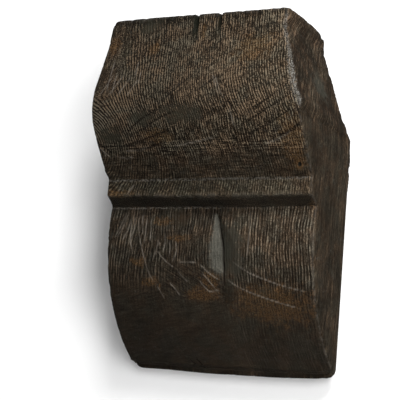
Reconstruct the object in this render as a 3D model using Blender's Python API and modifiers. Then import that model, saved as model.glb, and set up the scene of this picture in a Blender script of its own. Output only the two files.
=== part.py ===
# Beam corbel: one block of old oak, carved to a profile on its front, with a hewn corner and drying checks.
#
# The block hangs on a wall and carries the end of a beam on its flat top. X runs along the wall, Y runs
# into it and Z is up. The origin is the centre of the flat back, so the wall is the plane Y = 0.

import math

import bmesh
import bpy
from mathutils import Vector

# The block.
HEIGHT = 0.230
WIDTH = 0.152

# Heights of the bands of the front, from the top down. The belly takes what is left.
HEAD_HEIGHT = 0.1085
FILLET_HEIGHT = 0.0105
GROOVE_HEIGHT = 0.006
TOE_HEIGHT = 0.005

# The head: a short band under the top, then a blunt nose between two flat slopes.
TOP_DEPTH = 0.0675
BROW_DEPTH = 0.0715
BROW_HEIGHT = 0.020
NOSE_DEPTH = 0.085
NOSE_RADIUS = 0.034
NOSE_DROP = 0.061

# The fillet, the groove under it and the belly, one arc from the groove down to the toe.
FILLET_DEPTH = 0.058
BELLY_DEPTH = 0.050
BELLY_DROP = 0.017
TOE_DEPTH = 0.006

# Edges rounded by wear.
ARRIS_RADIUS = 0.003
CRISP_RADIUS = 0.0014
ARRIS_SEGMENTS = 4
SHARP_ANGLE = math.radians(30)

# The hewn corner, cut off the upper right along the whole depth of the block.
HEWN_HEIGHT = 0.072
HEWN_WIDTH = 0.0238
HEWN_FOOT_HEIGHT = 0.012
HEWN_FOOT_WIDTH = 0.0065
HEWN_LIP_HEIGHT = 0.011
HEWN_TAPER = 0.045

# Drying checks: how wide one gapes, and how far the two short ones run down from the top.
TOP_CHECK_RADIUS = 0.0026
TOP_CHECK_LENGTH = 0.016
TOP_CHECK_PLACES = (-0.008, 0.008)
BELLY_CHECK_RADIUS = 0.0026
BELLY_CHECK_START = (0.0050, 0.004)
BELLY_CHECK_END = (0.0125, 0.062)

# A shallow hollow that the long check runs down the middle of.
HOLLOW_RADIUS = 0.026
HOLLOW_BITE = 0.0032

# Fineness of the curves.
NOSE_STEPS = 14
BELLY_STEPS = 26
CHECK_STEPS = 18
CHECK_ROUNDNESS = 1
HOLLOW_ROUNDNESS = 14
FLAT_ANGLE = math.radians(0.05)
WELD = 0.00002
SKIN = 0.001
CUTTER_MARGIN = 0.010

OAK_COLOUR = (0.045, 0.031, 0.022, 1.0)
OAK_ROUGHNESS = 0.55

TOP = HEIGHT / 2
BOTTOM = -HEIGHT / 2
FILLET_TOP = TOP - HEAD_HEIGHT
FILLET_BOTTOM = FILLET_TOP - FILLET_HEIGHT
GROOVE = FILLET_BOTTOM - GROOVE_HEIGHT
TOE_TOP = BOTTOM + TOE_HEIGHT


def clear_scene():
    """Removes whatever the scene holds."""
    for obj in list(bpy.data.objects):
        bpy.data.objects.remove(obj, do_unlink=True)


def collection(name, hidden=False):
    """A new collection in the scene."""
    made = bpy.data.collections.new(name)
    made.hide_render = hidden
    bpy.context.scene.collection.children.link(made)
    return made


def arc(centre, radius, start, end, steps):
    """Points of an arc, as (depth, height), with angles measured from straight out of the wall."""
    points = []
    for step in range(steps + 1):
        angle = start + (end - start) * step / steps
        points.append((centre[0] + radius * math.cos(angle), centre[1] + radius * math.sin(angle)))
    return points


def tangent_angle(centre, radius, point, side):
    """The angle on the circle at which a straight line from the point just touches it."""
    across = point[0] - centre[0]
    up = point[1] - centre[1]
    distance = math.hypot(across, up)
    return math.atan2(up, across) - side * math.acos(min(1.0, radius / distance))


def nose_points():
    """The nose: the arc between the slope from the brow and the slope to the fillet."""
    centre = (NOSE_DEPTH - NOSE_RADIUS, TOP - NOSE_DROP)
    brow = (BROW_DEPTH, TOP - BROW_HEIGHT)
    fillet = (FILLET_DEPTH, FILLET_TOP)
    start = tangent_angle(centre, NOSE_RADIUS, brow, 1)
    end = tangent_angle(centre, NOSE_RADIUS, fillet, -1)
    return arc(centre, NOSE_RADIUS, start, end, NOSE_STEPS)


def belly_arc():
    """Centre and radius of the belly: fullest at its drop, and down to the toe."""
    centre_height = GROOVE - BELLY_DROP
    fall = centre_height - TOE_TOP
    recess = BELLY_DEPTH - TOE_DEPTH
    radius = (fall ** 2 + recess ** 2) / (2 * recess)
    return (BELLY_DEPTH - radius, centre_height), radius


def belly_place(across, height, outward):
    """The place that far straight out of the belly's surface, from its point at a height."""
    centre, radius = belly_arc()
    angle = math.asin((height - centre[1]) / radius)
    reach = radius + outward
    return (across, -(centre[0] + reach * math.cos(angle)), centre[1] + reach * math.sin(angle))


def belly_points():
    """The belly, from the groove down to the toe."""
    centre, radius = belly_arc()
    start = math.asin((GROOVE - centre[1]) / radius)
    end = math.asin((TOE_TOP - centre[1]) / radius)
    return arc(centre, radius, start, end, BELLY_STEPS)


def outline_points():
    """The side view of the block, as (depth, height), from the top of the wall round the front."""
    return [
        (0.0, TOP),
        (TOP_DEPTH, TOP),
        (BROW_DEPTH, TOP - BROW_HEIGHT),
        *nose_points(),
        (FILLET_DEPTH, FILLET_TOP),
        (FILLET_DEPTH, FILLET_BOTTOM),
        *belly_points(),
        (TOE_DEPTH, BOTTOM),
        (0.0, BOTTOM),
    ]


def extruded(name, points, thickness, group):
    """A flat outline made solid: a 2D curve given half the thickness each way, then welded as a mesh."""
    curve = bpy.data.curves.new(name, "CURVE")
    curve.dimensions = "2D"
    curve.fill_mode = "BOTH"
    curve.extrude = thickness / 2
    spline = curve.splines.new("POLY")
    spline.points.add(len(points) - 1)
    for point, place in zip(spline.points, points):
        point.co = (place[0], place[1], 0.0, 1.0)
    spline.use_cyclic_u = True
    guide = bpy.data.objects.new(name + "_outline", curve)
    group.objects.link(guide)
    return meshed(name, guide, group)


def meshed(name, guide, group):
    """The evaluated curve as a mesh object with its caps welded on. The curve is removed."""
    bpy.context.view_layer.update()
    evaluated = guide.evaluated_get(bpy.context.evaluated_depsgraph_get())
    mesh = bpy.data.meshes.new_from_object(evaluated)
    work = bmesh.new()
    work.from_mesh(mesh)
    bmesh.ops.remove_doubles(work, verts=work.verts, dist=WELD)
    bmesh.ops.recalc_face_normals(work, faces=work.faces)
    work.to_mesh(mesh)
    work.free()
    mesh.name = name
    solid = bpy.data.objects.new(name, mesh)
    solid.matrix_world = guide.matrix_world
    group.objects.link(solid)
    bpy.data.objects.remove(guide, do_unlink=True)
    return solid


def turn_points(obj, to_block):
    """Moves an extruded outline's points to the block's own axes with a function of one point."""
    for vertex in obj.data.vertices:
        vertex.co = to_block(vertex.co)
    work = bmesh.new()
    work.from_mesh(obj.data)
    bmesh.ops.recalc_face_normals(work, faces=work.faces)
    work.to_mesh(obj.data)
    work.free()


def hide_cutter(obj):
    """A cutter shows as wire and isn't part of the object."""
    obj.hide_render = True
    obj.display_type = "WIRE"


def place_hewn(co):
    """A point of the hewn outline in the block's axes, further out towards the front."""
    along = co.z - NOSE_DEPTH / 2
    return Vector((co.x - along * HEWN_TAPER, along, co.y))


def hewn_cutter(group):
    """The waste that the axe took off the upper right corner, as (across, height) along the depth."""
    foot = (WIDTH / 2, TOP - HEWN_HEIGHT)
    knee = (WIDTH / 2 - HEWN_FOOT_WIDTH, TOP - HEWN_HEIGHT + HEWN_FOOT_HEIGHT)
    lip = (WIDTH / 2 - HEWN_WIDTH, TOP - HEWN_LIP_HEIGHT)
    outside = WIDTH / 2 + CUTTER_MARGIN
    above = TOP + CUTTER_MARGIN
    points = [
        foot,
        (outside, foot[1]),
        (outside, above),
        (lip[0], above),
        lip,
        knee,
    ]
    depth = NOSE_DEPTH + 2 * CUTTER_MARGIN
    cutter = extruded("hewn_cutter", points, depth, group)
    turn_points(cutter, place_hewn)
    hide_cutter(cutter)
    return cutter


def tube_cutter(name, places, radii, roundness, group):
    """A tube through the places, as thick at each as its radius says."""
    curve = bpy.data.curves.new(name, "CURVE")
    curve.dimensions = "3D"
    curve.fill_mode = "FULL"
    curve.bevel_depth = 1.0
    curve.bevel_resolution = roundness
    curve.use_fill_caps = True
    spline = curve.splines.new("POLY")
    spline.points.add(len(places) - 1)
    for point, place, radius in zip(spline.points, places, radii):
        point.co = (*place, 1.0)
        point.radius = radius
    guide = bpy.data.objects.new(name + "_line", curve)
    group.objects.link(guide)
    cutter = meshed(name, guide, group)
    hide_cutter(cutter)
    return cutter


def top_check_cutter(index, across, group):
    """A short check, open at the top edge and closing as it runs down the brow."""
    places = []
    radii = []
    for step in range(CHECK_STEPS + 1):
        share = step / CHECK_STEPS
        fall = TOP_CHECK_LENGTH * share - CUTTER_MARGIN * (1 - share)
        slope = (BROW_DEPTH - TOP_DEPTH) / BROW_HEIGHT
        sink = TOP_CHECK_RADIUS * 0.3 * share
        places.append((across, -(TOP_DEPTH + slope * fall + sink), TOP - fall))
        radii.append(TOP_CHECK_RADIUS * (1 - share) + TOP_CHECK_RADIUS * 0.2 * share)
    return tube_cutter(f"top_check_cutter_{index}", places, radii, CHECK_ROUNDNESS, group)


def along_check(outward):
    """Places down the belly along the long check, that far out of its surface."""
    places = []
    for step in range(CHECK_STEPS + 1):
        share = step / CHECK_STEPS
        across = BELLY_CHECK_START[0] + (BELLY_CHECK_END[0] - BELLY_CHECK_START[0]) * share
        fall = BELLY_CHECK_START[1] + (BELLY_CHECK_END[1] - BELLY_CHECK_START[1]) * share
        places.append(belly_place(across, GROOVE - fall, outward(share)))
    return places


def belly_check_cutter(group):
    """The long check down the belly."""
    swell = [math.sin(math.pi * (step + 0.5) / (CHECK_STEPS + 1)) for step in range(CHECK_STEPS + 1)]
    places = along_check(lambda share: -BELLY_CHECK_RADIUS * math.sin(math.pi * share))
    radii = [BELLY_CHECK_RADIUS * share for share in swell]
    return tube_cutter("belly_check_cutter", places, radii, CHECK_ROUNDNESS, group)


def hollow_cutter(group):
    """The hollow around the long check: a fat tube that only bites into the surface."""
    def outward(share):
        bite = HOLLOW_BITE * math.sin(math.pi * share)
        return HOLLOW_RADIUS - bite

    places = along_check(outward)
    radii = [HOLLOW_RADIUS - SKIN] * len(places)
    return tube_cutter("hollow_cutter", places, radii, HOLLOW_ROUNDNESS, group)


def cut(obj, cutter):
    """Takes the cutter out of the object with a Boolean modifier."""
    modifier = obj.modifiers.new(cutter.name, "BOOLEAN")
    modifier.operation = "DIFFERENCE"
    modifier.solver = "EXACT"
    modifier.object = cutter


def apply_modifiers(obj):
    """Replaces the object's mesh with what its modifiers make of it."""
    bpy.context.view_layer.update()
    evaluated = obj.evaluated_get(bpy.context.evaluated_depsgraph_get())
    mesh = bpy.data.meshes.new_from_object(evaluated)
    obj.modifiers.clear()
    obj.data = mesh


def is_crisp(edge):
    """Whether the edge is the fillet's lower one, or lies against the wall: these are worn least."""
    on_fillet = all(
        abs(vertex.co.z - FILLET_BOTTOM) < 1e-5 and abs(vertex.co.y + FILLET_DEPTH) < 1e-5
        for vertex in edge.verts
    )
    on_wall = all(abs(vertex.co.y) < 1e-5 for vertex in edge.verts)
    return on_fillet or on_wall


def round_arrises(obj):
    """Rounds the outward sharp edges by wear, the crisp ones least."""
    work = bmesh.new()
    work.from_mesh(obj.data)
    bmesh.ops.remove_doubles(work, verts=work.verts, dist=WELD)
    bmesh.ops.dissolve_limit(
        work, angle_limit=FLAT_ANGLE, verts=work.verts, edges=work.edges, use_dissolve_boundaries=False)
    weights = work.edges.layers.float.new("bevel_weight_edge")
    for edge in work.edges:
        if edge.is_manifold and edge.is_convex and edge.calc_face_angle() > SHARP_ANGLE:
            edge[weights] = CRISP_RADIUS / ARRIS_RADIUS if is_crisp(edge) else 1.0
    work.to_mesh(obj.data)
    work.free()
    bevel = obj.modifiers.new("worn_arrises", "BEVEL")
    bevel.limit_method = "WEIGHT"
    bevel.width = ARRIS_RADIUS
    bevel.use_clamp_overlap = False
    bevel.segments = ARRIS_SEGMENTS


def oak_material():
    """Dark stained oak."""
    material = bpy.data.materials.new("dark_oak")
    material.use_nodes = True
    shader = material.node_tree.nodes["Principled BSDF"]
    shader.inputs["Base Color"].default_value = OAK_COLOUR
    shader.inputs["Roughness"].default_value = OAK_ROUGHNESS
    shader.inputs["Metallic"].default_value = 0.0
    return material


def make_corbel(group, cutters):
    """The carved block, with its corner hewn, its edges worn and its checks open."""
    corbel = extruded("corbel", outline_points(), WIDTH, group)
    turn_points(corbel, lambda co: Vector((co.z, -co.x, co.y)))
    cut(corbel, hewn_cutter(cutters))
    apply_modifiers(corbel)
    round_arrises(corbel)
    cut(corbel, hollow_cutter(cutters))
    cut(corbel, belly_check_cutter(cutters))
    for index, across in enumerate(TOP_CHECK_PLACES):
        cut(corbel, top_check_cutter(index, across, cutters))
    corbel.data.shade_smooth()
    corbel.data.set_sharp_from_angle(angle=SHARP_ANGLE)
    corbel.data.materials.append(oak_material())
    return corbel


def main():
    clear_scene()
    corbel_group = collection("beam_corbel")
    cutter_group = collection("cutters", hidden=True)
    make_corbel(corbel_group, cutter_group)


main()
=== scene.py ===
# %% [markdown]
# # A weathered oak beam corbel
#
# This lesson dresses one carved block of oak. The real corbel is cut from the end of an old beam, so its
# front is end grain: growth rings, rays that run out from the heart, and drying checks. It has been
# stained nearly black, then rubbed until the raised grain and the corners show grey and brown. Every
# length in the script is in millimetres unless its name or comment says otherwise, and the piece itself
# is in metres.

# %% Load the solid and keep its box
import math
from functools import partial

import bmesh
import bpy
import numpy as np
from mathutils import Matrix, Vector
from mathutils.bvhtree import BVHTree
from mathutils.geometry import delaunay_2d_cdt


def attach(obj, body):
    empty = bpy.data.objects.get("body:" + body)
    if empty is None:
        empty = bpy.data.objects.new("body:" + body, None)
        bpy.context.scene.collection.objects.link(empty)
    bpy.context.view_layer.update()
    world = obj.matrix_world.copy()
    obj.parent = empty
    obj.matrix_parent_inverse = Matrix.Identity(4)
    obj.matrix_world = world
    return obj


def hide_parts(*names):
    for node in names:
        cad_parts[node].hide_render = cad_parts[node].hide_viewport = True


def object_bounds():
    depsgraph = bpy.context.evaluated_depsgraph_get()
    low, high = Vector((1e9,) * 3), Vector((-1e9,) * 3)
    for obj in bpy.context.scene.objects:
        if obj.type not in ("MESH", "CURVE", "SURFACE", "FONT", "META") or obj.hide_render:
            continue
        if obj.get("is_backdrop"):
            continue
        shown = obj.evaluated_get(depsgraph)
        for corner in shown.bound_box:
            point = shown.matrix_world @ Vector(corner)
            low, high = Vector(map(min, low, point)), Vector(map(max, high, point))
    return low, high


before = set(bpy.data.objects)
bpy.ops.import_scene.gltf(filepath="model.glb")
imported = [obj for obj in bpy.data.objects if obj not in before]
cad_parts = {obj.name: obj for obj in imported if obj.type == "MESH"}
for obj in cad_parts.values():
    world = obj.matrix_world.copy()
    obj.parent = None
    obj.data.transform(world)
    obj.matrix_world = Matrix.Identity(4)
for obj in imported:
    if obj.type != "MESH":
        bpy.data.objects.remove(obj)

MM = 0.001
cad_box = [list(corner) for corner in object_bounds()]
low, high = (Vector(corner) / MM for corner in cad_box)
print("solid from", [round(c, 1) for c in low], "to", [round(c, 1) for c in high], "mm")

# %% [markdown]
# ## Measuring the solid
#
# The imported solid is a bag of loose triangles. A merged copy of it makes a clean body to measure and,
# later, to settle the finer mesh on. The front is the same all the way across the block, so one column
# of rays, fired at the wall where nothing is cut, gives the whole side view.

# %% Make a merged copy and read the side view from it
CLEAN_ACROSS = -40.0
EDGE_REACH = 3.6
PROBE_STEP = 0.1


def merged_copy(source, name):
    """A welded copy of a mesh object that isn't shown."""
    work = bmesh.new()
    work.from_mesh(source.data)
    bmesh.ops.remove_doubles(work, verts=work.verts, dist=0.01 * MM)
    mesh = bpy.data.meshes.new(name)
    work.to_mesh(mesh)
    work.free()
    return bpy.data.objects.new(name, mesh)


solid = merged_copy(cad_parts["corbel"], "measured_solid")
solid_tree = BVHTree.FromPolygons(
    [vertex.co.copy() for vertex in solid.data.vertices],
    [tuple(face.vertices) for face in solid.data.polygons],
)


def depth_at(height):
    """How far the front stands out of the wall at a height, past the rounding at top and bottom."""
    inside = min(max(height, low.z + EDGE_REACH), high.z - EDGE_REACH)
    hit = solid_tree.ray_cast(Vector((CLEAN_ACROSS, low.y - 50, inside)) * MM, Vector((0, 1, 0)))[0]
    return -hit.y / MM


probe_heights = np.arange(high.z, low.z - PROBE_STEP / 2, -PROBE_STEP)
probe_depths = np.array([depth_at(height) for height in probe_heights])
near_top = np.abs(probe_heights - (high.z - EDGE_REACH - 4)).argmin()
at_reach = np.abs(probe_heights - (high.z - EDGE_REACH)).argmin()
top_slope = (probe_depths[at_reach] - probe_depths[near_top]) / 4
above = probe_heights > high.z - EDGE_REACH
probe_depths[above] += top_slope * (probe_heights[above] - (high.z - EDGE_REACH))
print("depth at the top", round(probe_depths[0], 1), "nose", round(probe_depths.max(), 1), "mm")

# %% [markdown]
# ## A fine skin for the block
#
# Rings and checks need a mesh that is fine where they show and coarse where nothing does. The front is a
# regular sheet of small quads, with its rows spaced evenly along the curve. The flat sides, top, bottom
# and back are filled with triangles from a Delaunay fill, each as fine as that face deserves, and share
# their rim points with the sheet, so one weld closes the skin.

# %% Space the rows along the curve and lay out the front sheet
ROW_STEP = 0.95
COLUMNS = 262
CRISP_HEIGHTS = (6.5, -4.0, -10.0, -110.0)
HEWN_LINE = ((-200.0, 0.0), (43.0, 0.0), (55.0, -6.5), (104.0, -23.8), (200.0, -23.8))
HEWN_TAPER = 0.045


def right_edge(depth_y, height):
    """Where the right side stands at a place, in from the full width where the corner is hewn off."""
    heights, insets = zip(*HEWN_LINE)
    return min(high.x, high.x + float(np.interp(height, heights, insets)) - depth_y * HEWN_TAPER)


steps = np.hypot(np.diff(probe_depths), np.diff(probe_heights))
travelled = np.concatenate([[0.0], np.cumsum(steps)])
row_count = int(travelled[-1] / ROW_STEP) + 1
row_travel = np.linspace(0.0, travelled[-1], row_count)
for crisp in CRISP_HEIGHTS:
    at_crisp = travelled[np.abs(probe_heights - crisp).argmin()]
    row_travel[np.abs(row_travel - at_crisp).argmin()] = at_crisp
row_heights = np.interp(row_travel, travelled, probe_heights)
row_depths = np.interp(row_travel, travelled, probe_depths)
front_points = [
    (low.x + (right_edge(-depth, height) - low.x) * column / COLUMNS, -depth, height)
    for depth, height in zip(row_depths, row_heights) for column in range(COLUMNS + 1)
]
print("front sheet", row_count, "rows of", COLUMNS + 1, "points")


# %% Fill the flat faces
def spaced(start, end, step):
    """Evenly spaced numbers from start to end, both included."""
    return list(np.linspace(start, end, max(2, int(abs(end - start) / step) + 1)))


def inside_outline(points, outline):
    """Which points lie inside a closed outline, by counting the edges to one side of each."""
    start, end = outline, np.roll(outline, -1, axis=0)
    x, y = points[:, None, 0], points[:, None, 1]
    spans = (start[None, :, 1] > y) != (end[None, :, 1] > y)
    rise = np.where(end[:, 1] == start[:, 1], 1e-12, end[:, 1] - start[:, 1])
    crossing = start[None, :, 0] + (y - start[None, :, 1]) / rise * (end[:, 0] - start[:, 0])
    return (spans & (x < crossing)).sum(axis=1) % 2 == 1


def distance_to_outline(points, outline):
    """How far each point is from a closed outline."""
    start, end = outline, np.roll(outline, -1, axis=0)
    along = end - start
    offset = points[:, None, :] - start[None, :, :]
    share = np.clip((offset * along).sum(-1) / np.maximum((along ** 2).sum(-1), 1e-12), 0, 1)
    return np.sqrt(((offset - share[..., None] * along) ** 2).sum(-1)).min(axis=1)


def filled(outline, spacing, place):
    """Points and triangles that fill a flat outline. place turns a flat point into one on the block."""
    rim = np.array(outline)
    across = np.arange(rim[:, 0].min(), rim[:, 0].max(), spacing)
    up = np.arange(rim[:, 1].min(), rim[:, 1].max(), spacing * math.sqrt(3) / 2)
    grid = np.array([(x + spacing / 2 * (row % 2), y) for row, y in enumerate(up) for x in across])
    grid = grid[inside_outline(grid, rim)]
    grid = grid[distance_to_outline(grid, rim) > spacing * 0.6]
    flat = [Vector(point) for point in np.vstack([rim, grid])]
    rim_edges = [(index, (index + 1) % len(rim)) for index in range(len(rim))]
    points, _, faces, *_ = delaunay_2d_cdt(flat, rim_edges, [], 1, 1e-6)
    return [place(point.x, point.y) for point in points], [tuple(face) for face in faces]


RIGHT_SPACING, LEFT_SPACING, TOP_SPACING, BACK_SPACING = 1.35, 1.9, 2.2, 4.5
profile = list(zip(-row_depths, row_heights))
top_run = spaced(-row_depths[0], 0.0, 2.0)[1:-1]
back_run = spaced(high.z, low.z, 3.0)
toe_run = spaced(0.0, -row_depths[-1], 1.5)[1:-1]
side_outline = (
    profile
    + [(y, low.z) for y in reversed(toe_run)]
    + [(0.0, height) for height in reversed(back_run)]
    + [(y, high.z) for y in reversed(top_run)]
)


def across_run(depth_y, height, step=None):
    """Points across the block from left to right: the sheet's own, or a step apart."""
    right = right_edge(depth_y, height)
    return spaced(low.x, right, step) if step else list(np.linspace(low.x, right, COLUMNS + 1))


top_outline = (
    [(x, -row_depths[0]) for x in across_run(-row_depths[0], high.z)]
    + [(right_edge(y, high.z), y) for y in top_run]
    + [(x, 0.0) for x in reversed(across_run(0.0, high.z, 3.0))]
    + [(low.x, y) for y in reversed(top_run)]
)
bottom_outline = (
    [(x, -row_depths[-1]) for x in across_run(-row_depths[-1], low.z)]
    + [(high.x, y) for y in reversed(toe_run)]
    + [(x, 0.0) for x in reversed(across_run(0.0, low.z, 3.0))]
    + [(low.x, y) for y in toe_run]
)
back_outline = (
    [(x, high.z) for x in across_run(0.0, high.z, 3.0)]
    + [(right_edge(0.0, height), height) for height in back_run[1:-1]]
    + [(x, low.z) for x in reversed(across_run(0.0, low.z, 3.0))]
    + [(low.x, height) for height in reversed(back_run[1:-1])]
)
flat_faces = [
    filled(side_outline, RIGHT_SPACING, lambda y, z: (right_edge(y, z), y, z)),
    filled(side_outline, LEFT_SPACING, lambda y, z: (low.x, y, z)),
    filled(top_outline, TOP_SPACING, lambda x, y: (x, y, high.z)),
    filled(bottom_outline, TOP_SPACING, lambda x, y: (x, y, low.z)),
    filled(back_outline, BACK_SPACING, lambda x, z: (x, 0.0, z)),
]
print("flat faces have", [len(faces) for _, faces in flat_faces], "triangles")


# %% Weld sheet and faces into one closed skin
def closed_skin(name, sheets):
    """One welded mesh object from sheets of (points in mm, faces), with its faces outwards."""
    work = bmesh.new()
    for points, faces in sheets:
        made = [work.verts.new(Vector(point) * MM) for point in points]
        for face in faces:
            work.faces.new([made[index] for index in face])
    bmesh.ops.remove_doubles(work, verts=work.verts, dist=0.02 * MM)
    bmesh.ops.recalc_face_normals(work, faces=work.faces)
    loose = sum(not edge.is_manifold for edge in work.edges)
    mesh = bpy.data.meshes.new(name)
    work.to_mesh(mesh)
    work.free()
    obj = bpy.data.objects.new(name, mesh)
    bpy.context.scene.collection.objects.link(obj)
    print(name, len(mesh.vertices), "points,", len(mesh.polygons), "faces,", loose, "open edges")
    return obj


sheet_faces = [
    (row * (COLUMNS + 1) + column, (row + 1) * (COLUMNS + 1) + column,
     (row + 1) * (COLUMNS + 1) + column + 1, row * (COLUMNS + 1) + column + 1)
    for row in range(row_count - 1) for column in range(COLUMNS)
]
corbel = closed_skin("corbel_block", [(front_points, sheet_faces), *flat_faces])

# %% [markdown]
# ## Checks and rays, drawn as lines
#
# As the beam dried it split along its rays, and the stain ran into the splits. The rays themselves are
# hard, so where the surface is rubbed they stand out pale. Both are drawn here as a few strokes on the
# front, each through three or four points given as (across, height). A stroke's ends are pulled away
# from the drawing plane, so anything that measures its distance from the stroke sees it thin out there.

# %% Draw the strokes
STROKE_REACH = 0.9
STROKE_STEPS = 10

DARK_CHECKS = (
    ((38, 43), (48, 48), (57, 53.5), (64, 58.5)),
    ((32, 35.5), (42, 39.5), (52, 44.5), (61, 49), (70, 55)),
    ((36, 30.5), (50, 35), (63, 41), (72.5, 46)),
    ((72, 46), (76, 40)),
    ((57, 29.5), (66, 31.5), (76, 36.5)),
    ((-60, 25.5), (-45, 28.5), (-32, 31.5), (-15, 35.5)),
    ((-54, 31), (-41, 40), (-30, 45.5), (-20, 50)),
    ((-36, 36.5), (-23, 42.5), (-12, 46)),
    ((-50, 23), (-35, 25.5), (-22, 28.5)),
    ((-21, 54), (-12, 62), (-4, 70)),
    ((0, 57), (9, 63), (17, 70)),
    ((-14, 37), (-14.5, 28)),
    ((-75, 28), (-70, 25.5), (-65.5, 22)),
    ((22, 46), (24.5, 50.5), (28, 49), (29, 45)),
    ((-27, -107), (-21, -111), (-16, -115)),
    ((-22, -106.5), (-17, -110)),
)
FINE_CHECKS = (
    ((-23, 51), (-17, 57), (-10, 64)),
    ((-18, 51), (-12, 57.5), (-5, 66)),
    ((-15, 53.5), (-9, 60), (-3, 67)),
    ((-9, 51), (-3, 56), (5, 62)),
    ((-4, 54), (1, 59), (8, 67)),
    ((2, 51), (6, 55.5), (11, 62)),
    ((9, 50), (14, 56), (20, 64)),
    ((-31, 63), (-26, 58.5), (-21, 53)),
    ((-27, 72), (-21, 63), (-15, 55)),
    ((11, 66), (16, 57), (21, 47)),
    ((3, 74), (8, 64), (12, 56)),
    ((22, 68), (27, 58), (31, 47)),
    ((-60, 31.5), (-45, 33.5), (-30, 38)),
    ((-70, 24), (-50, 26.5), (-30, 30.5), (-6, 34)),
    ((8, 29), (22, 34), (36, 37)),
    ((40, 34), (52, 38), (64, 44)),
    ((44, 46), (53, 50.5), (60, 56)),
    ((30, 41), (41, 43.5), (50, 48)),
)
PALE_RAYS = (
    ((-75, 26.5), (-71, 23), (-67, 19.5)),
    ((-72, 20), (-70.5, 24)),
    ((-66.5, 88), (-66, 73), (-65, 58)),
    ((-61.5, 76), (-61, 66), (-61, 58)),
    ((-43, 76), (-42, 64)),
    ((-47.5, 84), (-46, 70)),
    ((-71, 57), (-66.5, 66), (-63, 76)),
    ((-64, 57), (-59.5, 65), (-55.5, 74)),
    ((-57, 57), (-52.5, 65), (-49, 73)),
    ((-50, 56), (-46, 63), (-42.5, 70)),
    ((-66, 21), (-56, 19.5), (-49, 20)),
    ((-58, 23.3), (-45, 23.8), (-33, 26.5)),
    ((-20, 25.5), (0, 28), (18, 31)),
    ((46, 25), (58, 28), (70, 33)),
    ((10, 73), (15, 63.5), (20, 54)),
    ((13, 71), (18, 61), (24, 51)),
    ((27, 47), (28.5, 41), (29, 35)),
    ((-57.5, -13), (-58, -24), (-57.5, -34), (-55.5, -44)),
    ((-53.5, -12), (-52, -26), (-48.4, -39), (-43, -55), (-37, -63)),
    ((-46.5, -16), (-46.5, -27), (-47, -36)),
    ((-50, -13), (-49.5, -22), (-48, -31)),
    ((-43, -17), (-42.5, -26), (-42.5, -35)),
    ((-36, -30), (-37.5, -39), (-40, -46)),
    ((-62.5, -12.5), (-66, -23), (-71.5, -33)),
    ((-61, -13), (-64, -23), (-69, -32)),
    ((-58.5, -17), (-60.6, -26), (-65, -35)),
    ((-55.5, -15), (-56, -26), (-60, -38)),
    ((-38, -38), (-33.5, -43.5), (-28, -48), (-23, -51)),
    ((-38, -33), (-35, -35), (-38, -37)),
    ((-28, -33), (-27, -38), (-28, -45)),
    ((-23.4, -32), (-22.2, -40), (-26.6, -49)),
    ((-31.5, -27), (-31, -35), (-33, -42)),
    ((-22, -47), (-14, -47.2), (-6, -46.8)),
    ((-6, -46.8), (2.2, -53.8), (10, -58.2)),
    ((-7.5, -56.8), (-0.4, -63.8), (3, -66)),
    ((-4, -52.6), (1.5, -58.5), (6.5, -63.8)),
    ((1, -65.2), (9, -64)),
    ((6, -49), (10, -51.5), (15, -55)),
    ((-28.6, -59.5), (-25, -63), (-20, -69)),
    ((-37.5, -62), (-35.5, -66), (-32.5, -71)),
    ((-21.5, -52.5), (-18, -56), (-13.5, -60)),
    ((15, -43), (21, -47.3), (30.6, -52.8), (40.4, -56.3), (52.7, -60), (65, -62.7), (74, -64)),
    ((12, -54.5), (18.4, -59.6), (28.2, -64.1), (42.9, -68.6), (57.6, -72.3), (70, -74.5)),
    ((30, -11), (30.6, -30), (29, -49)),
    ((-63, 5), (-66, -2)),
    ((-53, 4), (-59, -3.5)),
)
TOP_CHECKS = (((-10.8, 122), (-10.6, 112), (-9.6, 96)), ((6.2, 122), (6.4, 112), (7.6, 96)))
LONG_CHECK = (((5.0, -12), (7.5, -22), (10.8, -36), (11.2, -46), (12.2, -55), (11.6, -74)),)
NAIL_HOLE = (((68.6, 13.5), (69.0, 13.9)),)


def smooth_line(points, steps):
    """A smooth line through the points, as arrays of across and height."""
    points = np.array(points, float)
    padded = np.vstack([2 * points[0] - points[1], points, 2 * points[-1] - points[-2]])
    line = []
    for a, b, c, d in zip(padded, padded[1:], padded[2:], padded[3:]):
        for share in np.linspace(0, 1, steps, endpoint=False):
            line.append(0.5 * (2 * b + (c - a) * share + (2 * a - 5 * b + 4 * c - d) * share ** 2
                               + (3 * b - a - 3 * c + d) * share ** 3))
    return np.vstack([line, points[-1]])


def stroke_lines(name, strokes, taper=True):
    """The strokes as a mesh of edges on the drawing plane, their ends pulled away from it to thin out."""
    places, edges = [], []
    for stroke in strokes:
        line = smooth_line(stroke, STROKE_STEPS)
        shares = np.linspace(-1, 1, len(line))
        away = STROKE_REACH * shares ** 4 if taper else 0 * shares
        edges += [(len(places) + i, len(places) + i + 1) for i in range(len(line) - 1)]
        places += [(x * MM, pull * MM, z * MM) for (x, z), pull in zip(line, away)]
    mesh = bpy.data.meshes.new(name)
    mesh.from_pydata(places, edges, [])
    return bpy.data.objects.new(name, mesh)


stroke_objects = {
    "Dark checks": stroke_lines("dark_check_lines", DARK_CHECKS),
    "Fine checks": stroke_lines("fine_check_lines", FINE_CHECKS),
    "Pale rays": stroke_lines("pale_ray_lines", PALE_RAYS),
    "Top checks": stroke_lines("top_check_lines", TOP_CHECKS, taper=False),
    "Long check": stroke_lines("long_check_line", LONG_CHECK, taper=False),
    "Nail hole": stroke_lines("nail_hole_line", NAIL_HOLE, taper=False),
}
print("strokes:", {name: len(obj.data.edges) for name, obj in stroke_objects.items()}, "edges")


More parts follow.
